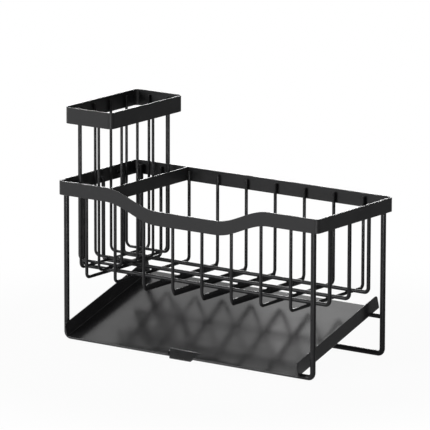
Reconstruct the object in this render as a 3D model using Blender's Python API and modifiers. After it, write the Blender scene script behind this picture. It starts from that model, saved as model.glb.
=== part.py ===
"""A wire organizer for the side of a sink, with a lift-out brush basket and a sloped drip tray under it.

X runs along the front from left to right, Y from the front to the back, and Z up. Lengths are in metres.
The origin is in the middle of the whole, on the surface that it stands on.
The rack is built about its own middle, and an empty puts it in place.
"""

import math

import bmesh
import bpy
from mathutils import Vector

# Spacing that all the pieces share
GAP = 0.0003
MERGE_DISTANCE = 0.00001

# Rim: a flat strip on edge, with a low stretch along the front
RIM_WIDTH = 0.290
RIM_DEPTH = 0.122
RIM_TOP = 0.149
RIM_HEIGHT = 0.0132
RIM_THICKNESS = 0.0015
RIM_CORNER_RADIUS = 0.0045
RIM_EDGE_ROUNDING = 0.0003
DIP_DEPTH = 0.0152
DIP_LEVEL_LENGTH = 0.066
DIP_RAMP_LENGTH = 0.058

# Divider: a straight strip across the rim, to the left of one cross wire
DIVIDER_THICKNESS = 0.0015
DIVIDER_HEIGHT = 0.0125
DIVIDER_WIRE_NUMBER = 2
DIVIDER_WIRE_CLEARANCE = 0.0009

# Leg frames: one thick wire each, seated inside the rim
LEG_DIAMETER = 0.0050
FRONT_LEG_INSET = 0.0071
REAR_LEG_INSET = 0.0083
LEG_BEND_RADIUS = 0.0047
LEG_TOP_DROP = 0.0032

# Crossbar between the rear legs
CROSSBAR_DIAMETER = 0.0040
CROSSBAR_HEIGHT = 0.0371

# Basket wires: cross wires run front to back, and long wires lie on them
CROSS_WIRE_COUNT = 8
CROSS_WIRE_DIAMETER = 0.0030
CROSS_WIRE_INSET = 0.0310
CROSS_WIRE_BEND_RADIUS = 0.0040
FLOOR_HEIGHT = 0.0625
WIRE_TOP_DROP = 0.0030
DEEP_RUN_DEPTH = 0.0061
DEEP_RUN_FIRST = 3
DEEP_RUN_LAST = 6
LONG_WIRE_DIAMETER = 0.0036
LONG_WIRE_PITCH = 0.0311
LONG_WIRE_INSET = 0.00693
LONG_WIRE_BEND_RADIUS = 0.0045
LONG_WIRE_HOOK_RADIUS = 0.0030
LONG_WIRE_HOOK_DROP = 0.0070

# Brush basket: hangs inside the left end of the rack and lifts out
HOLDER_TOP = 0.2174
HOLDER_BAND_HEIGHT = 0.0152
HOLDER_THICKNESS = 0.0012
HOLDER_CORNER_RADIUS = 0.0050
HOLDER_LEFT_CLEARANCE = 0.0025
HOLDER_RIGHT_CLEARANCE = 0.0016
HOLDER_END_CLEARANCE = 0.0005
HOLDER_WIRE_DIAMETER = 0.0026
HOLDER_WIRE_BEND_RADIUS = 0.0050
HOLDER_WIRE_TOP_DROP = 0.0034
HOLDER_CROSS_WIRE_COUNT = 2
HOLDER_CROSS_WIRE_ROW_LENGTH = 0.0209
HOLDER_SIDE_WIRE_COUNT = 4
HOLDER_SIDE_WIRE_CLEARANCE = 0.0022

# Drip tray: one bent sheet that lies on the front base wire and on the crossbar
TRAY_LEFT_CLEARANCE = 0.0027
TRAY_RIGHT_CLEARANCE = 0.0077
TRAY_THICKNESS = 0.0010
TRAY_WALL_HEIGHT = 0.0136
TRAY_FRONT_OVERHANG = 0.0033
TRAY_REAR_OVERHANG = 0.0041
TRAY_BEND_RADIUS = 0.0016
TRAY_CORNER_RADIUS = 0.0028
SPOUT_FOLD_WIDTH = 0.0357
SPOUT_FOLD_BACK = 0.0085
SPOUT_FOLD_RISE = 0.0012
SPOUT_MOUTH_WIDTH = 0.0280
SPOUT_TIP_WIDTH = 0.0232
SPOUT_TIP_REACH = 0.0020
SPOUT_TIP_DROP = 0.0023

# Counts and angles of the round stretches
BEND_STEPS = 6
CORNER_STEPS = 6
RAMP_STEPS = 8
THIN_WIRE_RESOLUTION = 3
LEG_RESOLUTION = 4
LEG_TILT = math.radians(15)
EDGE_ANGLE = math.radians(60)
SMOOTH_ANGLE = math.radians(40)

# Colours and finish of the coat
STRIP_COLOUR = (0.022, 0.022, 0.023, 1.0)
WIRE_COLOUR = (0.018, 0.018, 0.019, 1.0)
TRAY_COLOUR = (0.030, 0.030, 0.031, 1.0)
STRIP_ROUGHNESS = 0.50
WIRE_ROUGHNESS = 0.42
TRAY_ROUGHNESS = 0.28
COAT_METALLIC = 0.0


def clear_scene():
    for obj in list(bpy.data.objects):
        bpy.data.objects.remove(obj)


def new_collection(name):
    collection = bpy.data.collections.new(name)
    bpy.context.scene.collection.children.link(collection)
    return collection


def coat(name, colour, roughness):
    """The black coat of one piece."""
    material = bpy.data.materials.new(name + "_coat")
    material.use_nodes = True
    shader = material.node_tree.nodes["Principled BSDF"]
    shader.inputs["Base Color"].default_value = colour
    shader.inputs["Roughness"].default_value = roughness
    shader.inputs["Metallic"].default_value = COAT_METALLIC
    material.diffuse_color = colour
    return material


def strip_coat(name):
    return coat(name, STRIP_COLOUR, STRIP_ROUGHNESS)


def wire_coat(name):
    return coat(name, WIRE_COLOUR, WIRE_ROUGHNESS)


def tray_coat(name):
    return coat(name, TRAY_COLOUR, TRAY_ROUGHNESS)


def place_empty(collection, name, location, tilt=0.0):
    """An empty that carries the pieces of one body."""
    empty = bpy.data.objects.new(name, None)
    empty.location = location
    empty.rotation_euler = (tilt, 0.0, 0.0)
    collection.objects.link(empty)
    return empty


def add_object(collection, parent, name, data, material):
    data.materials.append(material)
    obj = bpy.data.objects.new(name, data)
    obj.parent = parent
    collection.objects.link(obj)
    return obj


def smooth(mesh):
    mesh.shade_smooth()
    mesh.set_sharp_from_angle(angle=SMOOTH_ANGLE)


def bent_path(corners, radii):
    """The points of a line through the corners, with a round bend of its own radius at each inner corner."""
    points = [Vector(corners[0])]
    for before, corner, after, radius in zip(corners, corners[1:], corners[2:], radii):
        corner = Vector(corner)
        back = (Vector(before) - corner).normalized()
        ahead = (Vector(after) - corner).normalized()
        half = back.angle(ahead) / 2
        centre = corner + (back + ahead).normalized() * (radius / math.sin(half))
        start = corner + back * (radius / math.tan(half)) - centre
        end = corner + ahead * (radius / math.tan(half)) - centre
        for step in range(BEND_STEPS + 1):
            points.append(centre + start.slerp(end, step / BEND_STEPS).normalized() * radius)
    points.append(Vector(corners[-1]))
    return points


def wire(collection, parent, name, points, diameter, resolution=THIN_WIRE_RESOLUTION, tilt=0.0):
    """A round wire along the points, with closed ends."""
    curve = bpy.data.curves.new(name, "CURVE")
    curve.dimensions = "3D"
    curve.bevel_depth = diameter / 2
    curve.bevel_resolution = resolution
    curve.use_fill_caps = True
    spline = curve.splines.new("POLY")
    spline.points.add(len(points) - 1)
    for target, point in zip(spline.points, points):
        target.co = (*point, 1.0)
        target.tilt = tilt
    return add_object(collection, parent, name, curve, wire_coat(name))


def as_mesh(collection, obj):
    """The same piece as a closed mesh, in place of its curve."""
    bpy.context.view_layer.update()
    evaluated = obj.evaluated_get(bpy.context.evaluated_depsgraph_get())
    mesh = bpy.data.meshes.new_from_object(evaluated)
    bm = bmesh.new()
    bm.from_mesh(mesh)
    bmesh.ops.remove_doubles(bm, verts=bm.verts, dist=MERGE_DISTANCE)
    bm.to_mesh(mesh)
    bm.free()
    name, parent, place = obj.name, obj.parent, obj.matrix_world.copy()
    bpy.data.objects.remove(obj)
    piece = bpy.data.objects.new(name, mesh)
    piece.parent = parent
    collection.objects.link(piece)
    piece.matrix_world = place
    return piece


def bevel_edges(obj, width):
    bevel = obj.modifiers.new("rounded_edges", "BEVEL")
    bevel.width = width
    bevel.segments = 1
    bevel.limit_method = "ANGLE"
    bevel.angle_limit = EDGE_ANGLE
    bevel.use_clamp_overlap = False
    return bevel


def thicken(obj, thickness):
    """Gives an open surface its wall, behind its faces."""
    solidify = obj.modifiers.new("wall", "SOLIDIFY")
    solidify.thickness = thickness
    solidify.offset = -1.0
    solidify.use_even_offset = True
    return solidify


def round_rectangle(width, depth, radius, front_stops=()):
    """A plan outline, from the left end of its front and on to the right, with extra points at the stops."""
    x = width / 2 - radius
    y = depth / 2 - radius
    outline = [(stop, -depth / 2) for stop in front_stops]
    for centre, first in (((x, -y), -90), ((x, y), 0), ((-x, y), 90), ((-x, -y), 180)):
        for step in range(CORNER_STEPS + 1):
            angle = math.radians(first + 90 * step / CORNER_STEPS)
            outline.append((centre[0] + radius * math.cos(angle), centre[1] + radius * math.sin(angle)))
    return outline


def band(collection, parent, name, outline, tops, height, thickness):
    """A closed strip on edge: the outline drawn out downwards, with its wall inside the outline."""
    mesh = bpy.data.meshes.new(name)
    bm = bmesh.new()
    verts = [bm.verts.new((x, y, top)) for (x, y), top in zip(outline, tops)]
    edges = [bm.edges.new((a, b)) for a, b in zip(verts, verts[1:] + verts[:1])]
    drawn = bmesh.ops.extrude_edge_only(bm, edges=edges)["geom"]
    lower = [item for item in drawn if isinstance(item, bmesh.types.BMVert)]
    bmesh.ops.translate(bm, verts=lower, vec=(0.0, 0.0, -height))
    bmesh.ops.recalc_face_normals(bm, faces=bm.faces)
    outer = max(bm.faces, key=lambda face: face.calc_center_median().x)
    if outer.normal.x < 0:
        bmesh.ops.reverse_faces(bm, faces=bm.faces)
    bm.to_mesh(mesh)
    bm.free()
    smooth(mesh)
    obj = add_object(collection, parent, name, mesh, strip_coat(name))
    thicken(obj, thickness)
    bevel_edges(obj, RIM_EDGE_ROUNDING)
    return obj


def dip_at(x):
    """How far the front of the rim lies below its top, at a distance from its middle."""
    run = (abs(x) - DIP_LEVEL_LENGTH / 2) / DIP_RAMP_LENGTH
    run = min(max(run, 0.0), 1.0)
    return DIP_DEPTH * (1 + math.cos(math.pi * run)) / 2


def dip_stops():
    """The places along the front where the ramps of the low stretch have points."""
    level = DIP_LEVEL_LENGTH / 2
    ramp = [level + DIP_RAMP_LENGTH * step / RAMP_STEPS for step in range(RAMP_STEPS + 1)]
    return [-x for x in reversed(ramp)] + ramp


def make_rim_band(collection, rack):
    stops = dip_stops()
    outline = round_rectangle(RIM_WIDTH, RIM_DEPTH, RIM_CORNER_RADIUS, stops)
    tops = [RIM_TOP - dip_at(x) for x in stops] + [RIM_TOP] * (len(outline) - len(stops))
    return band(collection, rack, "rim_band", outline, tops, RIM_HEIGHT, RIM_THICKNESS)


def cross_wire_x(number):
    """The place of a cross wire along the rim: the row is spread evenly between its two insets."""
    reach = RIM_WIDTH / 2 - CROSS_WIRE_INSET
    return reach * (2 * (number - 1) / (CROSS_WIRE_COUNT - 1) - 1)


def brush_space_width():
    """How wide the space is between the rim's left end and the divider."""
    wire_side = cross_wire_x(DIVIDER_WIRE_NUMBER) - CROSS_WIRE_DIAMETER / 2
    return wire_side - DIVIDER_WIRE_CLEARANCE - DIVIDER_THICKNESS - RIM_THICKNESS + RIM_WIDTH / 2


def make_divider(collection, rack):
    length = RIM_DEPTH - 2 * (RIM_THICKNESS + GAP)
    mesh = bpy.data.meshes.new("compartment_divider")
    bm = bmesh.new()
    bmesh.ops.create_cube(bm, size=1.0)
    bmesh.ops.scale(bm, verts=bm.verts, vec=(DIVIDER_THICKNESS, length, DIVIDER_HEIGHT))
    bm.to_mesh(mesh)
    bm.free()
    obj = add_object(collection, rack, "compartment_divider", mesh, strip_coat("compartment_divider"))
    x = RIM_THICKNESS + brush_space_width() + DIVIDER_THICKNESS / 2 - RIM_WIDTH / 2
    obj.location = (x, 0.0, RIM_TOP - DIVIDER_HEIGHT / 2)
    bevel_edges(obj, RIM_EDGE_ROUNDING)
    return obj


def leg_row():
    """How far behind or before the rack's middle the leg frames stand."""
    return RIM_DEPTH / 2 - RIM_THICKNESS - GAP - LEG_DIAMETER / 2


def leg_reach(inset):
    """How far the legs stand to the left and right of the rack's middle."""
    return RIM_WIDTH / 2 - inset


def make_leg_frame(collection, rack, name, reach, y):
    top = RIM_TOP - LEG_TOP_DROP
    base = LEG_DIAMETER / 2 * math.cos(LEG_TILT)
    corners = [(-reach, y, top), (-reach, y, base), (reach, y, base), (reach, y, top)]
    points = bent_path(corners, [LEG_BEND_RADIUS] * 2)
    return wire(collection, rack, name, points, LEG_DIAMETER, LEG_RESOLUTION, LEG_TILT)


def make_crossbar(collection, rack):
    reach = leg_reach(REAR_LEG_INSET) - LEG_DIAMETER / 2 - GAP
    ends = [(-reach, leg_row(), CROSSBAR_HEIGHT), (reach, leg_row(), CROSSBAR_HEIGHT)]
    return wire(collection, rack, "tray_crossbar", ends, CROSSBAR_DIAMETER)


def deepen_run(piece):
    """Draws the floor run of a cross wire out downwards, from its top, to the depth of the middle wires."""
    share = DEEP_RUN_DEPTH / CROSS_WIRE_DIAMETER
    for vertex in piece.data.vertices:
        below = FLOOR_HEIGHT - vertex.co.z
        if below > 0:
            vertex.co.z = FLOOR_HEIGHT - below * share


def make_cross_wire(collection, rack, number):
    x = cross_wire_x(number)
    row = RIM_DEPTH / 2 - RIM_THICKNESS - GAP - CROSS_WIRE_DIAMETER / 2
    top = RIM_TOP - WIRE_TOP_DROP
    run = FLOOR_HEIGHT - CROSS_WIRE_DIAMETER / 2
    corners = [(x, -row, top - dip_at(x)), (x, -row, run), (x, row, run), (x, row, top)]
    points = bent_path(corners, [CROSS_WIRE_BEND_RADIUS] * 2)
    piece = wire(collection, rack, f"cross_wire_{number}", points, CROSS_WIRE_DIAMETER)
    if DEEP_RUN_FIRST <= number <= DEEP_RUN_LAST:
        piece = as_mesh(collection, piece)
        deepen_run(piece)
        smooth(piece.data)
    return piece


def long_wire_run_height():
    return FLOOR_HEIGHT + GAP + LONG_WIRE_DIAMETER / 2


def make_long_wire(collection, rack, name, y):
    reach = RIM_WIDTH / 2 - LONG_WIRE_INSET
    end = RIM_WIDTH / 2 - RIM_THICKNESS - GAP
    run = long_wire_run_height()
    hook = RIM_TOP - LONG_WIRE_HOOK_DROP
    corners = [(-end, y, hook), (-reach, y, hook), (-reach, y, run)]
    corners += [(reach, y, run), (reach, y, hook), (end, y, hook)]
    radii = [LONG_WIRE_HOOK_RADIUS, LONG_WIRE_BEND_RADIUS, LONG_WIRE_BEND_RADIUS, LONG_WIRE_HOOK_RADIUS]
    return wire(collection, rack, name, bent_path(corners, radii), LONG_WIRE_DIAMETER)


def make_rack(collection, rack):
    make_rim_band(collection, rack)
    make_divider(collection, rack)
    make_leg_frame(collection, rack, "front_leg_frame", leg_reach(FRONT_LEG_INSET), -leg_row())
    make_leg_frame(collection, rack, "rear_leg_frame", leg_reach(REAR_LEG_INSET), leg_row())
    make_crossbar(collection, rack)
    for number in range(1, CROSS_WIRE_COUNT + 1):
        make_cross_wire(collection, rack, number)
    for name, steps in (("long_wire_front", -1), ("long_wire_middle", 0), ("long_wire_rear", 1)):
        make_long_wire(collection, rack, name, steps * LONG_WIRE_PITCH)


def holder_width():
    return brush_space_width() - HOLDER_LEFT_CLEARANCE - HOLDER_RIGHT_CLEARANCE


def holder_depth():
    return RIM_DEPTH - 2 * (RIM_THICKNESS + GAP + CROSS_WIRE_DIAMETER + HOLDER_END_CLEARANCE)


def holder_place(rack_y):
    """The middle of the brush basket, at the height where it rests on the rack's long wires."""
    x = RIM_THICKNESS + HOLDER_LEFT_CLEARANCE + holder_width() / 2 - RIM_WIDTH / 2
    return (x, rack_y, long_wire_run_height() + LONG_WIRE_DIAMETER / 2 + GAP)


def spread(count, length):
    """Evenly spaced places about the middle, from one end of a length to the other."""
    return [length * (step / (count - 1) - 1 / 2) for step in range(count)]


def side_wire_row_length():
    """The basket's outer side wires stand beside the rack's outer long wires."""
    beside = (LONG_WIRE_DIAMETER + HOLDER_WIRE_DIAMETER) / 2 + HOLDER_SIDE_WIRE_CLEARANCE
    return 2 * (LONG_WIRE_PITCH + beside)


def make_holder_band(collection, holder, top):
    outline = round_rectangle(holder_width(), holder_depth(), HOLDER_CORNER_RADIUS)
    tops = [top] * len(outline)
    return band(collection, holder, "holder_band", outline, tops, HOLDER_BAND_HEIGHT, HOLDER_THICKNESS)


def make_holder_wire(collection, holder, name, across, along, run, top):
    """A wire of the brush basket: across is a unit step along its run, and along its place beside the run."""
    corners = []
    for side, height in ((-1, top), (-1, run), (1, run), (1, top)):
        corners.append(Vector(along) + side * Vector(across) + Vector((0.0, 0.0, height)))
    points = bent_path(corners, [HOLDER_WIRE_BEND_RADIUS] * 2)
    return wire(collection, holder, name, points, HOLDER_WIRE_DIAMETER)


def make_holder(collection, holder, floor):
    """The brush basket, measured up from its own lowest wires."""
    band_top = HOLDER_TOP - floor
    wire_top = band_top - HOLDER_WIRE_TOP_DROP
    seat = HOLDER_THICKNESS + GAP + HOLDER_WIRE_DIAMETER / 2
    low_run = HOLDER_WIRE_DIAMETER / 2
    high_run = low_run + HOLDER_WIRE_DIAMETER + GAP
    make_holder_band(collection, holder, band_top)
    half_depth = (0.0, holder_depth() / 2 - seat, 0.0)
    for number, x in enumerate(spread(HOLDER_CROSS_WIRE_COUNT, HOLDER_CROSS_WIRE_ROW_LENGTH), start=1):
        name = f"holder_cross_wire_{number}"
        make_holder_wire(collection, holder, name, half_depth, (x, 0.0, 0.0), low_run, wire_top)
    half_width = (holder_width() / 2 - seat, 0.0, 0.0)
    for number, y in enumerate(spread(HOLDER_SIDE_WIRE_COUNT, side_wire_row_length()), start=1):
        name = f"holder_side_wire_{number}"
        make_holder_wire(collection, holder, name, half_width, (0.0, y, 0.0), high_run, wire_top)


def tray_width():
    """The tray fills the space between the front legs, but for its two clearances."""
    between_legs = 2 * leg_reach(FRONT_LEG_INSET) - LEG_DIAMETER
    return between_legs - TRAY_LEFT_CLEARANCE - TRAY_RIGHT_CLEARANCE


def tray_middle():
    """How far the tray's middle lies to the right of the rack's middle."""
    return (TRAY_LEFT_CLEARANCE - TRAY_RIGHT_CLEARANCE) / 2


def tray_slope():
    """The angle of a sheet that lies on the front base wire and on the crossbar, a gap above both."""
    across = 2 * leg_row()
    up = CROSSBAR_HEIGHT - LEG_DIAMETER / 2
    thicker = CROSSBAR_DIAMETER / 2 - LEG_DIAMETER / 2
    return math.atan2(up, across) + math.asin(thicker / math.hypot(across, up))


def tray_seat():
    """The point under the tray, in the rack's own frame, that lies nearest the front base wire."""
    slope = tray_slope()
    away = LEG_DIAMETER / 2 + GAP
    y = -leg_row() - away * math.sin(slope)
    return (tray_middle(), y, LEG_DIAMETER / 2 + away * math.cos(slope))


def tray_front():
    """Where the tray's floor starts, along its slope from its seat."""
    return (-RIM_DEPTH / 2 - TRAY_FRONT_OVERHANG - tray_seat()[1]) / math.cos(tray_slope())


def tray_back():
    """Where the tray's floor ends, along its slope from its seat."""
    return (RIM_DEPTH / 2 + TRAY_REAR_OVERHANG - tray_seat()[1]) / math.cos(tray_slope())


def rack_shift():
    """How far the rack's middle lies behind the middle of the whole, as the tray reaches out in front."""
    slope = tray_slope()
    rounded = TRAY_CORNER_RADIUS * (1 - math.cos(slope))
    front_reach = TRAY_FRONT_OVERHANG + (TRAY_WALL_HEIGHT - TRAY_CORNER_RADIUS) * math.sin(slope) + rounded
    return (front_reach - TRAY_REAR_OVERHANG) / 2


def tray_wall_outline(x, front, back):
    """The side wall's upper outline, from its front, over its two round top corners, to its back."""
    r = TRAY_CORNER_RADIUS
    points = []
    for centre, first in ((front + r, 180), (back - r, 90)):
        for step in range(CORNER_STEPS + 1):
            angle = math.radians(first - 90 * step / CORNER_STEPS)
            height = TRAY_WALL_HEIGHT - r + r * math.sin(angle)
            points.append((x, centre + r * math.cos(angle), height))
    return points


def add_tray_wall(bm, edge, side, front, back):
    """Bends the floor's side edge up through a quarter turn, and stands the side wall on the bend."""
    turn_at = side * (tray_width() / 2 - TRAY_BEND_RADIUS)
    bend = bmesh.ops.spin(bm, geom=[edge, *edge.verts], cent=(turn_at, 0.0, TRAY_BEND_RADIUS),
                          axis=(0.0, -side, 0.0), angle=math.radians(90), steps=BEND_STEPS)
    foot = [item for item in bend["geom_last"] if isinstance(item, bmesh.types.BMVert)]
    foot.sort(key=lambda vertex: vertex.co.y)
    top = [bm.verts.new(point) for point in tray_wall_outline(side * tray_width() / 2, front, back)]
    bm.faces.new([foot[0], *top, foot[1]])


def make_drip_tray(collection, tray):
    """The bent sheet, in the frame of its slope: its floor with two creases, its spout and its side walls."""
    front = tray_front()
    back = tray_back()
    fold = front + SPOUT_FOLD_BACK
    bm = bmesh.new()

    def pair(half, y, z):
        return [bm.verts.new((side * half, y, z)) for side in (-1, 1)]

    rear = pair(tray_width() / 2 - TRAY_BEND_RADIUS, back, 0.0)
    corner = pair(tray_width() / 2 - TRAY_BEND_RADIUS, front, 0.0)
    bend = pair(SPOUT_FOLD_WIDTH / 2, fold, SPOUT_FOLD_RISE)
    mouth = pair(SPOUT_MOUTH_WIDTH / 2, front, 0.0)
    tip = pair(SPOUT_TIP_WIDTH / 2, front - SPOUT_TIP_REACH, -SPOUT_TIP_DROP)
    bm.faces.new((rear[0], rear[1], bend[1], bend[0]))
    bm.faces.new((bend[0], bend[1], tip[1], tip[0]))
    for place, side in enumerate((-1, 1)):
        bm.faces.new((rear[place], bend[place], corner[place]))
        bm.faces.new((corner[place], bend[place], mouth[place]))
        add_tray_wall(bm, bm.edges.get((corner[place], rear[place])), side, front, back)
    bmesh.ops.recalc_face_normals(bm, faces=bm.faces)
    lowest = min(bm.faces, key=lambda face: face.calc_center_median().z)
    if lowest.normal.z > 0:
        bmesh.ops.reverse_faces(bm, faces=bm.faces)
    mesh = bpy.data.meshes.new("drip_tray")
    bm.to_mesh(mesh)
    bm.free()
    smooth(mesh)
    obj = add_object(collection, tray, "drip_tray", mesh, tray_coat("drip_tray"))
    thicken(obj, TRAY_THICKNESS)
    return obj


def main():
    clear_scene()
    collection = new_collection("sink_organizer")
    rack_y = rack_shift()
    rack = place_empty(collection, "rack_middle", (0.0, rack_y, 0.0))
    make_rack(collection, rack)
    holder_at = holder_place(rack_y)
    holder = place_empty(collection, "brush_holder_middle", holder_at)
    make_holder(collection, holder, holder_at[2])
    seat = Vector(tray_seat()) + Vector((0.0, rack_y, 0.0))
    tray = place_empty(collection, "drip_tray_seat", seat, tray_slope())
    make_drip_tray(collection, tray)


main()
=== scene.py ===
import math

import bmesh
import bpy
from mathutils import Matrix, Vector


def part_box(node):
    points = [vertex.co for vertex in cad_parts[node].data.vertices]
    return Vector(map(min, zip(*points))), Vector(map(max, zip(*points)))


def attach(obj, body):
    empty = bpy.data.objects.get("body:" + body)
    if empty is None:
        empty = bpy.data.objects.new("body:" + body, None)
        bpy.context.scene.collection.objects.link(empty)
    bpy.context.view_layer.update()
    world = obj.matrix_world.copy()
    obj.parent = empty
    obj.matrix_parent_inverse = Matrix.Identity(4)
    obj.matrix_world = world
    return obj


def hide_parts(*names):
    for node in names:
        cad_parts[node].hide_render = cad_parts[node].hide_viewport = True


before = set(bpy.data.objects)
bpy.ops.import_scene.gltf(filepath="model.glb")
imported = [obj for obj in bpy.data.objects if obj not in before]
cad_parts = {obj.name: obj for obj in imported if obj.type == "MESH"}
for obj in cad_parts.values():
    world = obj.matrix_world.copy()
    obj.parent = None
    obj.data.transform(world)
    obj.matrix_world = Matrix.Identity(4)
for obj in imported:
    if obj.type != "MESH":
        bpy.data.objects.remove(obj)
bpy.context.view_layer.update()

# Camera: the viewing angle of the photo
CAMERA_PLACE = (2.6354, -3.6991, 1.1085)
CAMERA_TURN = (math.radians(77.7755), math.radians(-0.137), math.radians(35.5967))
CAMERA_LENS = 426.16
CAMERA_SENSOR = 36.0
CAMERA_NEAR = 0.1
CAMERA_FAR = 60.0

# Light: a bright backdrop that fades upwards, a dark flag behind the object on the right, and soft lamps.
# The card brightens the tray's right rear, and the stripe draws the thin highlight down each wire.
WHITE = (1.0, 1.0, 1.0, 1.0)
SKY_FOR_LIGHT = 0.10
CEILING_SHARE = 0.35
BACKDROP_TOP = 1.0
BACKDROP_FADE = 0.45
FLAG_WAY = (0.567, 0.795, 0.0)
FLAG_START = 0.15
FLAG_END = 0.40
FLOOR_FLAG_START = -0.05
FLOOR_FLAG_END = 0.12
FLAG_SHARE = 0.25
LAMP_AIM = (0.0, 0.0, 0.08)
LAMPS = {
    "key": {"place": (-1.5, -2.4, 1.0), "size": (1.1, 1.1), "power": 40.0},
    "fill": {"place": (2.2, -0.6, 0.7), "size": (1.0, 1.0), "power": 2.0},
    "top": {"place": (0.0, 0.3, 2.4), "size": (1.2, 1.2), "power": 5.0},
    "rim": {"place": (-1.74, 2.43, 0.80), "size": (1.4, 0.25), "power": 30.0},
    "card": {"place": (-0.19, 0.33, 0.36), "size": (0.15, 0.12), "power": 0.050},
    "stripe": {"place": (1.5, -2.1, 0.15), "size": (0.20, 0.25), "power": 15.0},
}

# Floor: pale, and it glows towards the camera more and more away from the object
FLOOR_SIZE = 14.0
FLOOR_COLOUR = (0.90, 0.90, 0.90, 1.0)
FLOOR_GLOW_NEAR = 0.95
FLOOR_NEAR = 0.22
FLOOR_FAR = 0.42

# Spacing between neighbours, as in the CAD
GAP = 0.0003

# Rim, divider and the band of the brush basket: flat strips on edge
RIM_WIDTH = 0.290
RIM_DEPTH = 0.122
RIM_TOP = 0.149
RIM_HEIGHT = 0.0132
RIM_THICKNESS = 0.0015
RIM_CORNER_RADIUS = 0.0045
DIP_DEPTH = 0.0152
DIP_LEVEL_LENGTH = 0.066
DIP_RAMP_LENGTH = 0.058
STRIP_ROUNDING = 0.00035
DIVIDER_ROUNDING = 0.00035

# Wires
LEG_DIAMETER = 0.0050
FRONT_LEG_INSET = 0.0071
REAR_LEG_INSET = 0.0083
LEG_BEND_RADIUS = 0.0047
LEG_TOP_DROP = 0.0032
CROSSBAR_DIAMETER = 0.0040
CROSSBAR_HEIGHT = 0.0371
CROSS_WIRE_COUNT = 8
CROSS_WIRE_DIAMETER = 0.0030
CROSS_WIRE_INSET = 0.0310
CROSS_WIRE_BEND_RADIUS = 0.0040
FLOOR_HEIGHT = 0.0625
WIRE_TOP_DROP = 0.0030
DEEP_RUN_DEPTH = 0.0061
DEEP_RUN_FIRST = 3
DEEP_RUN_LAST = 6
LONG_WIRE_DIAMETER = 0.0036
LONG_WIRE_PITCH = 0.0311
LONG_WIRE_INSET = 0.00693
LONG_WIRE_BEND_RADIUS = 0.0045
LONG_WIRE_HOOK_RADIUS = 0.0030
LONG_WIRE_HOOK_DROP = 0.0070
WIRE_END_ROUNDING = 0.0005

# Brush basket
HOLDER_BAND_HEIGHT = 0.0152
HOLDER_THICKNESS = 0.0012
HOLDER_CORNER_RADIUS = 0.0050
HOLDER_WIRE_DIAMETER = 0.0026
HOLDER_WIRE_BEND_RADIUS = 0.0050
HOLDER_WIRE_TOP_DROP = 0.0034

# Drip tray
TRAY_LEFT_CLEARANCE = 0.0027
TRAY_RIGHT_CLEARANCE = 0.0077
TRAY_FRONT_OVERHANG = 0.0033
TRAY_REAR_OVERHANG = 0.0041
TRAY_THICKNESS = 0.0010
TRAY_WALL_HEIGHT = 0.0136
TRAY_BEND_RADIUS = 0.0016
TRAY_CORNER_RADIUS = 0.0028
TRAY_EDGE_ROUNDING = 0.0002
TRAY_EDGE_ANGLE = math.radians(14)
FOLD_CREST_DIAMETER = 0.0012
FOLD_CREST_SUNK = 0.0004
SPOUT_FOLD_WIDTH = 0.0357
SPOUT_FOLD_BACK = 0.0085
SPOUT_FOLD_RISE = 0.0012
SPOUT_MOUTH_WIDTH = 0.0280
SPOUT_TIP_WIDTH = 0.0232
SPOUT_TIP_REACH = 0.0020
SPOUT_TIP_DROP = 0.0023

# Welds: they fill the gap between two wires that cross, and between a wire and its strip
CROSSING_WELD = (0.0012, 0.0012, 0.0010)
SEAM_WELD = (0.0009, 0.0007, 0.0042)
HOOK_WELD = (0.0007, 0.0024, 0.0024)
WELD_FINENESS = 2

# Counts of the round stretches, and how they are shaded
WIRE_SIDES = 20
BEND_STEPS = 10
CORNER_STEPS = 10
RAMP_STEPS = 20
ROUNDING_STEPS = 4
END_STEPS = 3
TRAY_EDGE_STEPS = 2
ROUND_PROFILE = 0.5
FLAT_FACE_WEIGHT = 100


def make_camera():
    data = bpy.data.cameras.new("camera")
    data.lens = CAMERA_LENS
    data.sensor_width = CAMERA_SENSOR
    data.clip_start = CAMERA_NEAR
    data.clip_end = CAMERA_FAR
    camera = bpy.data.objects.new("camera", data)
    camera.location = CAMERA_PLACE
    camera.rotation_euler = CAMERA_TURN
    bpy.context.scene.collection.objects.link(camera)
    bpy.context.scene.camera = camera


def maths(nodes, links, operation, first, second=None, third=None):
    """A maths node; each input is a socket or a number."""
    node = nodes.new("ShaderNodeMath")
    node.operation = operation
    for place, value in enumerate((first, second, third)):
        if value is None:
            continue
        if isinstance(value, (int, float)):
            node.inputs[place].default_value = value
        else:
            links.new(value, node.inputs[place])
    return node.outputs[0]


def map_range(nodes, links, value, low, high, to_low, to_high):
    node = nodes.new("ShaderNodeMapRange")
    node.interpolation_type = "SMOOTHSTEP"
    for name, number in (("From Min", low), ("From Max", high), ("To Min", to_low), ("To Max", to_high)):
        node.inputs[name].default_value = number
    links.new(value, node.inputs["Value"])
    return node.outputs["Result"]


def ray_kinds(nodes, links):
    """The sockets that say camera ray, and glossy or transmission ray."""
    path = nodes.new("ShaderNodeLightPath")
    shiny = maths(nodes, links, "MAXIMUM", path.outputs["Is Glossy Ray"], path.outputs["Is Transmission Ray"])
    return path.outputs["Is Camera Ray"], shiny


def flag_share(nodes, links, place, start, end):
    """Dims the reflections of what lies towards the flag."""
    along = nodes.new("ShaderNodeVectorMath")
    along.operation = "DOT_PRODUCT"
    links.new(place, along.inputs[0])
    along.inputs[1].default_value = FLAG_WAY
    return map_range(nodes, links, along.outputs["Value"], start, end, 1.0, FLAG_SHARE)


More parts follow.
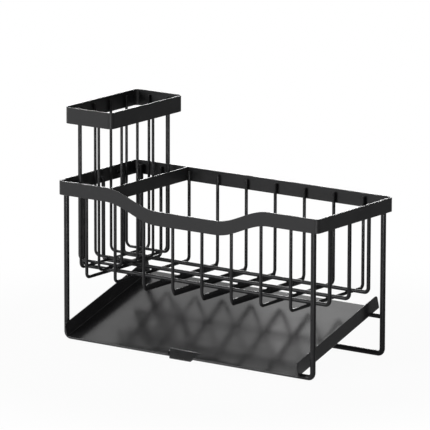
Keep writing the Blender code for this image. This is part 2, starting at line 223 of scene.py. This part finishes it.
def make_world():
    """White for the camera; in reflections it is white low down, and dim overhead and towards the flag."""
    world = bpy.data.worlds.new("studio")
    world.use_nodes = True
    nodes, links = world.node_tree.nodes, world.node_tree.links
    nodes.clear()
    camera_ray, shiny_ray = ray_kinds(nodes, links)
    direction = nodes.new("ShaderNodeTexCoord")
    split = nodes.new("ShaderNodeSeparateXYZ")
    links.new(direction.outputs["Generated"], split.inputs[0])
    low = BACKDROP_TOP - BACKDROP_FADE
    height_share = map_range(nodes, links, split.outputs["Z"], low, BACKDROP_TOP, 1.0, CEILING_SHARE)
    flag = flag_share(nodes, links, direction.outputs["Generated"], FLAG_START, FLAG_END)
    shiny = maths(nodes, links, "MULTIPLY", shiny_ray, maths(nodes, links, "MULTIPLY", height_share, flag))
    seen = maths(nodes, links, "MAXIMUM", camera_ray, shiny)
    other = maths(nodes, links, "SUBTRACT", 1.0, maths(nodes, links, "MAXIMUM", camera_ray, shiny_ray))
    strength = maths(nodes, links, "MULTIPLY_ADD", other, SKY_FOR_LIGHT, seen)
    light = nodes.new("ShaderNodeBackground")
    light.inputs["Color"].default_value = WHITE
    links.new(strength, light.inputs["Strength"])
    out = nodes.new("ShaderNodeOutputWorld")
    links.new(light.outputs[0], out.inputs["Surface"])
    bpy.context.scene.world = world


def make_lamps():
    for name, lamp in LAMPS.items():
        data = bpy.data.lights.new(name, "AREA")
        data.shape = "RECTANGLE"
        data.size, data.size_y = lamp["size"]
        data.energy = lamp["power"]
        obj = bpy.data.objects.new(name, data)
        obj.location = lamp["place"]
        aim = Vector(LAMP_AIM) - Vector(lamp["place"])
        obj.rotation_mode = "QUATERNION"
        obj.rotation_quaternion = aim.to_track_quat("-Z", "Y")
        obj.visible_camera = False
        bpy.context.scene.collection.objects.link(obj)


def make_floor():
    mesh = bpy.data.meshes.new("floor")
    half = FLOOR_SIZE / 2
    corners = [(-half, -half, 0), (half, -half, 0), (half, half, 0), (-half, half, 0)]
    mesh.from_pydata(corners, [], [(0, 1, 2, 3)])
    floor = bpy.data.objects.new("floor", mesh)
    bpy.context.scene.collection.objects.link(floor)
    material = bpy.data.materials.new("pale_floor")
    material.use_nodes = True
    nodes, links = material.node_tree.nodes, material.node_tree.links
    nodes.clear()
    camera_ray, shiny_ray = ray_kinds(nodes, links)
    place = nodes.new("ShaderNodeTexCoord")
    distance = nodes.new("ShaderNodeVectorMath")
    distance.operation = "LENGTH"
    links.new(place.outputs["Object"], distance.inputs[0])
    far = distance.outputs["Value"]
    glow_share = map_range(nodes, links, far, FLOOR_NEAR, FLOOR_FAR, FLOOR_GLOW_NEAR, 1.0)
    flag = flag_share(nodes, links, place.outputs["Object"], FLOOR_FLAG_START, FLOOR_FLAG_END)
    seen = maths(nodes, links, "MAXIMUM", camera_ray, shiny_ray)
    share = maths(nodes, links, "MULTIPLY", seen, glow_share)
    diffuse = nodes.new("ShaderNodeBsdfDiffuse")
    diffuse.inputs["Color"].default_value = FLOOR_COLOUR
    glow = nodes.new("ShaderNodeEmission")
    glow.inputs["Color"].default_value = WHITE
    links.new(maths(nodes, links, "MAXIMUM", camera_ray, flag), glow.inputs["Strength"])
    mix = nodes.new("ShaderNodeMixShader")
    out = nodes.new("ShaderNodeOutputMaterial")
    links.new(share, mix.inputs[0])
    links.new(diffuse.outputs[0], mix.inputs[1])
    links.new(glow.outputs[0], mix.inputs[2])
    links.new(mix.outputs[0], out.inputs["Surface"])
    mesh.materials.append(material)


# Coats

COATS = {
    "strip_coat": {
        "dark": (0.016, 0.016, 0.017, 1.0), "light": (0.021, 0.021, 0.022, 1.0),
        "roughness": (0.30, 0.38), "specular": 0.30, "peel": (700.0, 0.00003), "grain": (5200.0, 0.000006),
    },
    "wire_coat": {
        "dark": (0.012, 0.012, 0.013, 1.0), "light": (0.017, 0.017, 0.018, 1.0),
        "roughness": (0.26, 0.34), "specular": 0.20, "peel": (600.0, 0.000014), "grain": (5200.0, 0.000004),
    },
    "tray_coat": {
        "dark": (0.016, 0.016, 0.017, 1.0), "light": (0.022, 0.022, 0.023, 1.0),
        "roughness": (0.17, 0.22), "specular": 0.5, "peel": (420.0, 0.000006), "grain": (4200.0, 0.000002),
    },
}
CLOUD_SCALE = 60.0
CLOUD_RANGE = (0.3, 0.7)
CLOUD_DETAIL = 4.0
PEEL_DETAIL = 2.0
GRAIN_DETAIL = 1.0


def noise(nodes, links, place, scale, detail):
    node = nodes.new("ShaderNodeTexNoise")
    node.inputs["Scale"].default_value = scale
    node.inputs["Detail"].default_value = detail
    links.new(place, node.inputs["Vector"])
    return node.outputs["Fac"]


def bump(nodes, links, height, distance, normal=None):
    node = nodes.new("ShaderNodeBump")
    node.inputs["Distance"].default_value = distance
    links.new(height, node.inputs["Height"])
    if normal is not None:
        links.new(normal, node.inputs["Normal"])
    return node.outputs["Normal"]


def make_coat(name, look):
    """A coat with an orange peel, a fine grain, and a slow change of tone and gloss."""
    material = bpy.data.materials.new(name)
    material.use_nodes = True
    nodes, links = material.node_tree.nodes, material.node_tree.links
    shader = nodes["Principled BSDF"]
    shader.inputs["Specular IOR Level"].default_value = look["specular"]
    place = nodes.new("ShaderNodeTexCoord").outputs["Object"]
    cloud = noise(nodes, links, place, CLOUD_SCALE, CLOUD_DETAIL)
    tone = nodes.new("ShaderNodeMix")
    tone.data_type = "RGBA"
    tone.inputs["A"].default_value = look["dark"]
    tone.inputs["B"].default_value = look["light"]
    links.new(map_range(nodes, links, cloud, *CLOUD_RANGE, 0.0, 1.0), tone.inputs["Factor"])
    links.new(tone.outputs["Result"], shader.inputs["Base Color"])
    low, high = look["roughness"]
    peel_scale, peel_depth = look["peel"]
    grain_scale, grain_depth = look["grain"]
    peel = noise(nodes, links, place, peel_scale, PEEL_DETAIL)
    grain = noise(nodes, links, place, grain_scale, GRAIN_DETAIL)
    links.new(map_range(nodes, links, cloud, *CLOUD_RANGE, high, low), shader.inputs["Roughness"])
    relief = bump(nodes, links, peel, peel_depth)
    relief = bump(nodes, links, grain, grain_depth, relief)
    links.new(relief, shader.inputs["Normal"])
    return material


# Shapes

def bent_path(corners, radii):
    """The points of a line through the corners, with a round bend of its own radius at each inner corner."""
    points = [Vector(corners[0])]
    for before, corner, after, radius in zip(corners, corners[1:], corners[2:], radii):
        corner = Vector(corner)
        back = (Vector(before) - corner).normalized()
        ahead = (Vector(after) - corner).normalized()
        half = back.angle(ahead) / 2
        centre = corner + (back + ahead).normalized() * (radius / math.sin(half))
        start = corner + back * (radius / math.tan(half)) - centre
        end = corner + ahead * (radius / math.tan(half)) - centre
        for step in range(BEND_STEPS + 1):
            points.append(centre + start.slerp(end, step / BEND_STEPS).normalized() * radius)
    points.append(Vector(corners[-1]))
    return points


def stations(points, radius):
    """Where the rings of a bar stand: centre, direction and radius, with rounded ends."""
    ways = [(b - a).normalized() for a, b in zip(points, points[1:])]
    middle = []
    for number, point in enumerate(points[1:-1], start=1):
        middle.append((point, (ways[number - 1] + ways[number]).normalized(), radius))

    def end(point, inward):
        rings = []
        for step in range(END_STEPS + 1):
            angle = math.radians(90 * step / END_STEPS)
            back = WIRE_END_ROUNDING * (1 - math.sin(angle))
            rings.append((point + inward * back, radius - WIRE_END_ROUNDING * (1 - math.cos(angle))))
        return rings

    first = [(place, ways[0], size) for place, size in reversed(end(points[0], ways[0]))]
    last = [(place, ways[-1], size) for place, size in end(points[-1], -ways[-1])]
    return first + middle + last


def add_bar(bm, points, diameter, side, depth_at=None):
    """A round bar along the points of a plane path; side is the unit normal of that plane."""
    rings = []
    for centre, way, radius in stations(points, diameter / 2):
        up = way.cross(side)
        ring = []
        for number in range(WIRE_SIDES):
            angle = math.tau * number / WIRE_SIDES
            place = centre + side * (radius * math.cos(angle)) + up * (radius * math.sin(angle))
            ring.append(bm.verts.new(depth_at(place) if depth_at else place))
        rings.append(ring)
    for ring, after in zip(rings, rings[1:]):
        for number in range(WIRE_SIDES):
            ahead = (number + 1) % WIRE_SIDES
            bm.faces.new((ring[number], ring[ahead], after[ahead], after[number]))
    bm.faces.new(list(reversed(rings[0])))
    bm.faces.new(rings[-1])


def add_piece(bm, name, body, coat, *nodes):
    """Makes a piece of the mesh; it rides on the body and replaces the nodes."""
    mesh = bpy.data.meshes.new(name)
    bm.to_mesh(mesh)
    bm.free()
    mesh.shade_smooth()
    mesh.materials.append(MATERIALS[coat])
    obj = bpy.data.objects.new(name, mesh)
    bpy.context.scene.collection.objects.link(obj)
    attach(obj, body)
    if nodes:
        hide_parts(*nodes)
    return obj


def add_closed_piece(bm, name, body, coat, *nodes):
    bmesh.ops.recalc_face_normals(bm, faces=bm.faces)
    return add_piece(bm, name, body, coat, *nodes)


def even_normals(obj):
    """Keeps the large flat faces flat beside their rounded edges."""
    weighted = obj.modifiers.new("even_normals", "WEIGHTED_NORMAL")
    weighted.mode = "FACE_AREA"
    weighted.weight = FLAT_FACE_WEIGHT


def bar_piece(node, body, points, diameter, side, depth_at=None):
    bm = bmesh.new()
    add_bar(bm, points, diameter, Vector(side), depth_at=depth_at)
    return add_closed_piece(bm, node + "_coated", body, "wire_coat", node)


def rounded_profile(thickness, height, rounding):
    """The cut through a strip: how far in from its outer face, and how far below its top."""
    profile = []
    corners = ((rounding, rounding, 180), (thickness - rounding, rounding, 90),
               (thickness - rounding, height - rounding, 0), (rounding, height - rounding, -90))
    for inward, down, first in corners:
        for step in range(ROUNDING_STEPS + 1):
            angle = math.radians(first - 90 * step / ROUNDING_STEPS)
            profile.append((inward + rounding * math.cos(angle), down - rounding * math.sin(angle)))
    return profile


def round_rectangle(centre, width, depth, radius, front_stops=()):
    """A plan outline with its outward directions, from the left end of its front and on to the right."""
    x = width / 2 - radius
    y = depth / 2 - radius
    outline = [((centre[0] + stop, centre[1] - depth / 2), (0.0, -1.0)) for stop in front_stops]
    for corner, first in (((x, -y), -90), ((x, y), 0), ((-x, y), 90), ((-x, -y), 180)):
        for step in range(CORNER_STEPS + 1):
            angle = math.radians(first + 90 * step / CORNER_STEPS)
            out = (math.cos(angle), math.sin(angle))
            at = (centre[0] + corner[0] + radius * out[0], centre[1] + corner[1] + radius * out[1])
            outline.append((at, out))
    return outline


def band_piece(node, body, outline, tops, height, thickness):
    """A closed strip on edge with rounded edges."""
    bm = bmesh.new()
    profile = rounded_profile(thickness, height, STRIP_ROUNDING)
    rings = []
    for (at, out), top in zip(outline, tops):
        ring = [bm.verts.new((at[0] - out[0] * inward, at[1] - out[1] * inward, top - down))
                for inward, down in profile]
        rings.append(ring)
    for ring, after in zip(rings, rings[1:] + rings[:1]):
        for number in range(len(profile)):
            ahead = (number + 1) % len(profile)
            bm.faces.new((ring[number], ring[ahead], after[ahead], after[number]))
    piece = add_closed_piece(bm, node + "_coated", body, "strip_coat", node)
    even_normals(piece)
    return piece


def dip_at(x):
    run = (abs(x) - DIP_LEVEL_LENGTH / 2) / DIP_RAMP_LENGTH
    run = min(max(run, 0.0), 1.0)
    return DIP_DEPTH * (1 + math.cos(math.pi * run)) / 2


def middle_of(node):
    low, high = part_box(node)
    return [(a + b) / 2 for a, b in zip(low, high)]


RACK_Y = middle_of("rim_band")[1]
HOLDER_MIDDLE = middle_of("holder_band")


def make_rim():
    level = DIP_LEVEL_LENGTH / 2
    ramp = [level + DIP_RAMP_LENGTH * step / RAMP_STEPS for step in range(RAMP_STEPS + 1)]
    stops = [-x for x in reversed(ramp)] + ramp
    outline = round_rectangle((0.0, RACK_Y), RIM_WIDTH, RIM_DEPTH, RIM_CORNER_RADIUS, stops)
    tops = [RIM_TOP - dip_at(x) for x in stops] + [RIM_TOP] * (len(outline) - len(stops))
    band_piece("rim_band", "rack", outline, tops, RIM_HEIGHT, RIM_THICKNESS)


def make_holder_band():
    low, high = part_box("holder_band")
    size = [b - a for a, b in zip(low, high)]
    outline = round_rectangle(HOLDER_MIDDLE[:2], size[0], size[1], HOLDER_CORNER_RADIUS)
    tops = [high[2]] * len(outline)
    band_piece("holder_band", "brush_holder", outline, tops, HOLDER_BAND_HEIGHT, HOLDER_THICKNESS)


def make_divider():
    low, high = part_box("compartment_divider")
    bm = bmesh.new()
    bmesh.ops.create_cube(bm, size=1.0)
    size = Vector(high) - Vector(low)
    bmesh.ops.scale(bm, verts=bm.verts, vec=size)
    bmesh.ops.translate(bm, verts=bm.verts, vec=(Vector(low) + Vector(high)) / 2)
    bmesh.ops.bevel(bm, geom=bm.edges, offset=DIVIDER_ROUNDING, segments=ROUNDING_STEPS,
                    profile=ROUND_PROFILE, affect="EDGES")
    piece = add_closed_piece(bm, "compartment_divider_coated", "rack", "strip_coat", "compartment_divider")
    even_normals(piece)


def leg_row():
    return RIM_DEPTH / 2 - RIM_THICKNESS - GAP - LEG_DIAMETER / 2


def make_leg_frame(node, inset, way):
    reach = RIM_WIDTH / 2 - inset
    y = RACK_Y + way * leg_row()
    top = RIM_TOP - LEG_TOP_DROP
    base = LEG_DIAMETER / 2
    corners = [(-reach, y, top), (-reach, y, base), (reach, y, base), (reach, y, top)]
    bar_piece(node, "rack", bent_path(corners, [LEG_BEND_RADIUS] * 2), LEG_DIAMETER, (0.0, 1.0, 0.0))


def make_crossbar():
    reach = RIM_WIDTH / 2 - REAR_LEG_INSET - LEG_DIAMETER / 2
    y = RACK_Y + leg_row()
    points = [Vector((x, y, CROSSBAR_HEIGHT)) for x in (-reach, 0.0, reach)]
    bar_piece("tray_crossbar", "rack", points, CROSSBAR_DIAMETER, (0.0, 1.0, 0.0))


def cross_wire_x(number):
    reach = RIM_WIDTH / 2 - CROSS_WIRE_INSET
    return reach * (2 * (number - 1) / (CROSS_WIRE_COUNT - 1) - 1)


def deepened(place):
    """The floor run of a middle cross wire is drawn out downwards."""
    below = FLOOR_HEIGHT - place.z
    if below > 0:
        return Vector((place.x, place.y, FLOOR_HEIGHT - below * DEEP_RUN_DEPTH / CROSS_WIRE_DIAMETER))
    return place


def cross_wire_row():
    return RIM_DEPTH / 2 - RIM_THICKNESS - GAP - CROSS_WIRE_DIAMETER / 2


def make_cross_wire(number):
    x = cross_wire_x(number)
    row = cross_wire_row()
    top = RIM_TOP - WIRE_TOP_DROP
    run = FLOOR_HEIGHT - CROSS_WIRE_DIAMETER / 2
    front, rear = RACK_Y - row, RACK_Y + row
    corners = [(x, front, top - dip_at(x)), (x, front, run), (x, rear, run), (x, rear, top)]
    depth_at = deepened if DEEP_RUN_FIRST <= number <= DEEP_RUN_LAST else None
    points = bent_path(corners, [CROSS_WIRE_BEND_RADIUS] * 2)
    bar_piece(f"cross_wire_{number}", "rack", points, CROSS_WIRE_DIAMETER, (1.0, 0.0, 0.0), depth_at)


def make_long_wire(node, steps):
    y = RACK_Y + steps * LONG_WIRE_PITCH
    reach = RIM_WIDTH / 2 - LONG_WIRE_INSET
    end = RIM_WIDTH / 2 - RIM_THICKNESS - GAP
    run = FLOOR_HEIGHT + GAP + LONG_WIRE_DIAMETER / 2
    hook = RIM_TOP - LONG_WIRE_HOOK_DROP
    corners = [(-end, y, hook), (-reach, y, hook), (-reach, y, run)]
    corners += [(reach, y, run), (reach, y, hook), (end, y, hook)]
    radii = [LONG_WIRE_HOOK_RADIUS, LONG_WIRE_BEND_RADIUS, LONG_WIRE_BEND_RADIUS, LONG_WIRE_HOOK_RADIUS]
    bar_piece(node, "rack", bent_path(corners, radii), LONG_WIRE_DIAMETER, (0.0, 1.0, 0.0))


def make_holder_wire(node, across):
    """A wire of the brush basket: across is 0 where it runs along X, and 1 where it runs along Y."""
    middle = middle_of(node)
    band_low, band_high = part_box("holder_band")
    half = (band_high[across] - band_low[across]) / 2 - HOLDER_THICKNESS - GAP - HOLDER_WIRE_DIAMETER / 2
    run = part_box(node)[0][2] + HOLDER_WIRE_DIAMETER / 2
    top = band_high[2] - HOLDER_WIRE_TOP_DROP
    corners = []
    for side, height in ((-1, top), (-1, run), (1, run), (1, top)):
        corner = [middle[0], middle[1], height]
        corner[across] = HOLDER_MIDDLE[across] + side * half
        corners.append(tuple(corner))
    points = bent_path(corners, [HOLDER_WIRE_BEND_RADIUS] * 2)
    side = (0.0, 1.0, 0.0) if across == 0 else (1.0, 0.0, 0.0)
    bar_piece(node, "brush_holder", points, HOLDER_WIRE_DIAMETER, side)


def make_rack():
    make_rim()
    make_divider()
    make_leg_frame("front_leg_frame", FRONT_LEG_INSET, -1)
    make_leg_frame("rear_leg_frame", REAR_LEG_INSET, 1)
    make_crossbar()
    for number in range(1, CROSS_WIRE_COUNT + 1):
        make_cross_wire(number)
    for node, steps in (("long_wire_front", -1), ("long_wire_middle", 0), ("long_wire_rear", 1)):
        make_long_wire(node, steps)


def make_holder():
    make_holder_band()
    for number in (1, 2):
        make_holder_wire(f"holder_cross_wire_{number}", 1)
    for number in (1, 2, 3, 4):
        make_holder_wire(f"holder_side_wire_{number}", 0)


def add_weld(bm, place, size):
    """A small lump of coated weld, wide in each direction as its size says."""
    scale = Matrix.Diagonal((*size, 1.0))
    matrix = Matrix.Translation(place) @ scale
    bmesh.ops.create_icosphere(bm, subdivisions=WELD_FINENESS, radius=1.0, matrix=matrix)


def make_rack_welds():
    bm = bmesh.new()
    crossing = FLOOR_HEIGHT + GAP / 2
    half = CROSS_WIRE_DIAMETER / 2 + GAP / 2
    for number in range(1, CROSS_WIRE_COUNT + 1):
        x = cross_wire_x(number)
        for steps in (-1, 0, 1):
            add_weld(bm, (x, RACK_Y + steps * LONG_WIRE_PITCH, crossing), CROSSING_WELD)
        for side in (-1, 1):
            drop = dip_at(x) if side < 0 else 0.0
            top = RIM_TOP - WIRE_TOP_DROP - drop - SEAM_WELD[2]
            add_weld(bm, (x, RACK_Y + side * (cross_wire_row() + half), top), SEAM_WELD)
    for inset, way in ((FRONT_LEG_INSET, -1), (REAR_LEG_INSET, 1)):
        for side in (-1, 1):
            place = (side * (RIM_WIDTH / 2 - inset), RACK_Y + way * (leg_row() + LEG_DIAMETER / 2 + GAP / 2),
                     RIM_TOP - LEG_TOP_DROP - SEAM_WELD[2])
            add_weld(bm, place, SEAM_WELD)
    for side in (-1, 1):
        for steps in (-1, 0, 1):
            place = (side * (RIM_WIDTH / 2 - RIM_THICKNESS), RACK_Y + steps * LONG_WIRE_PITCH,
                     RIM_TOP - LONG_WIRE_HOOK_DROP)
            add_weld(bm, place, HOOK_WELD)
    add_closed_piece(bm, "rack_welds", "rack", "wire_coat")


def make_holder_welds():
    bm = bmesh.new()
    low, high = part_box("holder_band")
    seat = HOLDER_THICKNESS + GAP / 2
    top = high[2] - HOLDER_WIRE_TOP_DROP - SEAM_WELD[2]
    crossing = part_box("holder_cross_wire_1")[0][2] + HOLDER_WIRE_DIAMETER + GAP / 2
    cross_places = [middle_of(f"holder_cross_wire_{number}")[0] for number in (1, 2)]
    side_places = [middle_of(f"holder_side_wire_{number}")[1] for number in (1, 2, 3, 4)]
    across = (SEAM_WELD[1], SEAM_WELD[0], SEAM_WELD[2])
    for x in cross_places:
        for y in (low[1] + seat, high[1] - seat):
            add_weld(bm, (x, y, top), SEAM_WELD)
        for y in side_places:
            add_weld(bm, (x, y, crossing), CROSSING_WELD)
    for y in side_places:
        for x in (low[0] + seat, high[0] - seat):
            add_weld(bm, (x, y, top), across)
    add_closed_piece(bm, "brush_holder_welds", "brush_holder", "wire_coat")


def tray_slope():
    across = 2 * leg_row()
    up = CROSSBAR_HEIGHT - LEG_DIAMETER / 2
    thicker = CROSSBAR_DIAMETER / 2 - LEG_DIAMETER / 2
    return math.atan2(up, across) + math.asin(thicker / math.hypot(across, up))


def tray_seat():
    """The point under the tray, in the rack's own frame, that lies nearest the front base wire."""
    away = LEG_DIAMETER / 2 + GAP
    y = -leg_row() - away * math.sin(tray_slope())
    x = (TRAY_LEFT_CLEARANCE - TRAY_RIGHT_CLEARANCE) / 2
    return Vector((x, y, LEG_DIAMETER / 2 + away * math.cos(tray_slope())))


def tray_wall_outline(x, front, back):
    r = TRAY_CORNER_RADIUS
    points = []
    for centre, first in ((front + r, 180), (back - r, 90)):
        for step in range(CORNER_STEPS + 1):
            angle = math.radians(first - 90 * step / CORNER_STEPS)
            points.append((x, centre + r * math.cos(angle), TRAY_WALL_HEIGHT - r + r * math.sin(angle)))
    return points


def add_tray_wall(bm, edge, side, width, front, back):
    turn_at = side * (width / 2 - TRAY_BEND_RADIUS)
    bend = bmesh.ops.spin(bm, geom=[edge, *edge.verts], cent=(turn_at, 0.0, TRAY_BEND_RADIUS),
                          axis=(0.0, -side, 0.0), angle=math.radians(90), steps=BEND_STEPS)
    foot = [item for item in bend["geom_last"] if isinstance(item, bmesh.types.BMVert)]
    foot.sort(key=lambda vertex: vertex.co.y)
    top = [bm.verts.new(point) for point in tray_wall_outline(side * width / 2, front, back)]
    bm.faces.new([foot[0], *top, foot[1]])


def make_fold_crest(place, fold):
    """The rounded crest that the sheet's bend leaves along the fold of the spout."""
    bm = bmesh.new()
    height = SPOUT_FOLD_RISE + TRAY_THICKNESS - FOLD_CREST_SUNK
    half = SPOUT_FOLD_WIDTH / 2
    points = [Vector((x, fold, height)) for x in (-half, 0.0, half)]
    add_bar(bm, points, FOLD_CREST_DIAMETER, Vector((0.0, 1.0, 0.0)))
    bmesh.ops.transform(bm, matrix=place, verts=bm.verts)
    add_closed_piece(bm, "spout_fold_crest", "drip_tray", "tray_coat")


def make_tray():
    """The bent sheet with its creases, its spout and its side walls, and with rounded edges."""
    seat, slope = tray_seat(), tray_slope()
    front = (-RIM_DEPTH / 2 - TRAY_FRONT_OVERHANG - seat.y) / math.cos(slope)
    back = (RIM_DEPTH / 2 + TRAY_REAR_OVERHANG - seat.y) / math.cos(slope)
    width = RIM_WIDTH - 2 * FRONT_LEG_INSET - LEG_DIAMETER - TRAY_LEFT_CLEARANCE - TRAY_RIGHT_CLEARANCE
    bm = bmesh.new()

    def pair(half, y, z):
        return [bm.verts.new((side * half, y, z)) for side in (-1, 1)]

    rear = pair(width / 2 - TRAY_BEND_RADIUS, back, 0.0)
    corner = pair(width / 2 - TRAY_BEND_RADIUS, front, 0.0)
    bend = pair(SPOUT_FOLD_WIDTH / 2, front + SPOUT_FOLD_BACK, SPOUT_FOLD_RISE)
    mouth = pair(SPOUT_MOUTH_WIDTH / 2, front, 0.0)
    tip = pair(SPOUT_TIP_WIDTH / 2, front - SPOUT_TIP_REACH, -SPOUT_TIP_DROP)
    bm.faces.new((rear[0], rear[1], bend[1], bend[0]))
    bm.faces.new((bend[0], bend[1], tip[1], tip[0]))
    for place, side in enumerate((-1, 1)):
        bm.faces.new((rear[place], bend[place], corner[place]))
        bm.faces.new((corner[place], bend[place], mouth[place]))
        add_tray_wall(bm, bm.edges.get((corner[place], rear[place])), side, width, front, back)
    bmesh.ops.recalc_face_normals(bm, faces=bm.faces)
    lowest = min(bm.faces, key=lambda face: face.calc_center_median().z)
    if lowest.normal.z > 0:
        bmesh.ops.reverse_faces(bm, faces=bm.faces)
    place = Matrix.Translation(seat + Vector((0.0, RACK_Y, 0.0))) @ Matrix.Rotation(slope, 4, "X")
    bmesh.ops.transform(bm, matrix=place, verts=bm.verts)
    make_fold_crest(place, front + SPOUT_FOLD_BACK)
    tray = add_piece(bm, "drip_tray_coated", "drip_tray", "tray_coat", "drip_tray")
    wall = tray.modifiers.new("wall", "SOLIDIFY")
    wall.thickness = TRAY_THICKNESS
    wall.offset = -1.0
    wall.use_even_offset = True
    rounding = tray.modifiers.new("rounded_edges", "BEVEL")
    rounding.width = TRAY_EDGE_ROUNDING
    rounding.segments = TRAY_EDGE_STEPS
    rounding.limit_method = "ANGLE"
    rounding.angle_limit = TRAY_EDGE_ANGLE
    even_normals(tray)


MATERIALS = {name: make_coat(name, look) for name, look in COATS.items()}

bpy.context.scene.view_settings.view_transform = "Standard"
make_camera()
make_world()
make_lamps()
make_floor()
make_rack()
make_holder()
make_rack_welds()
make_holder_welds()
make_tray()
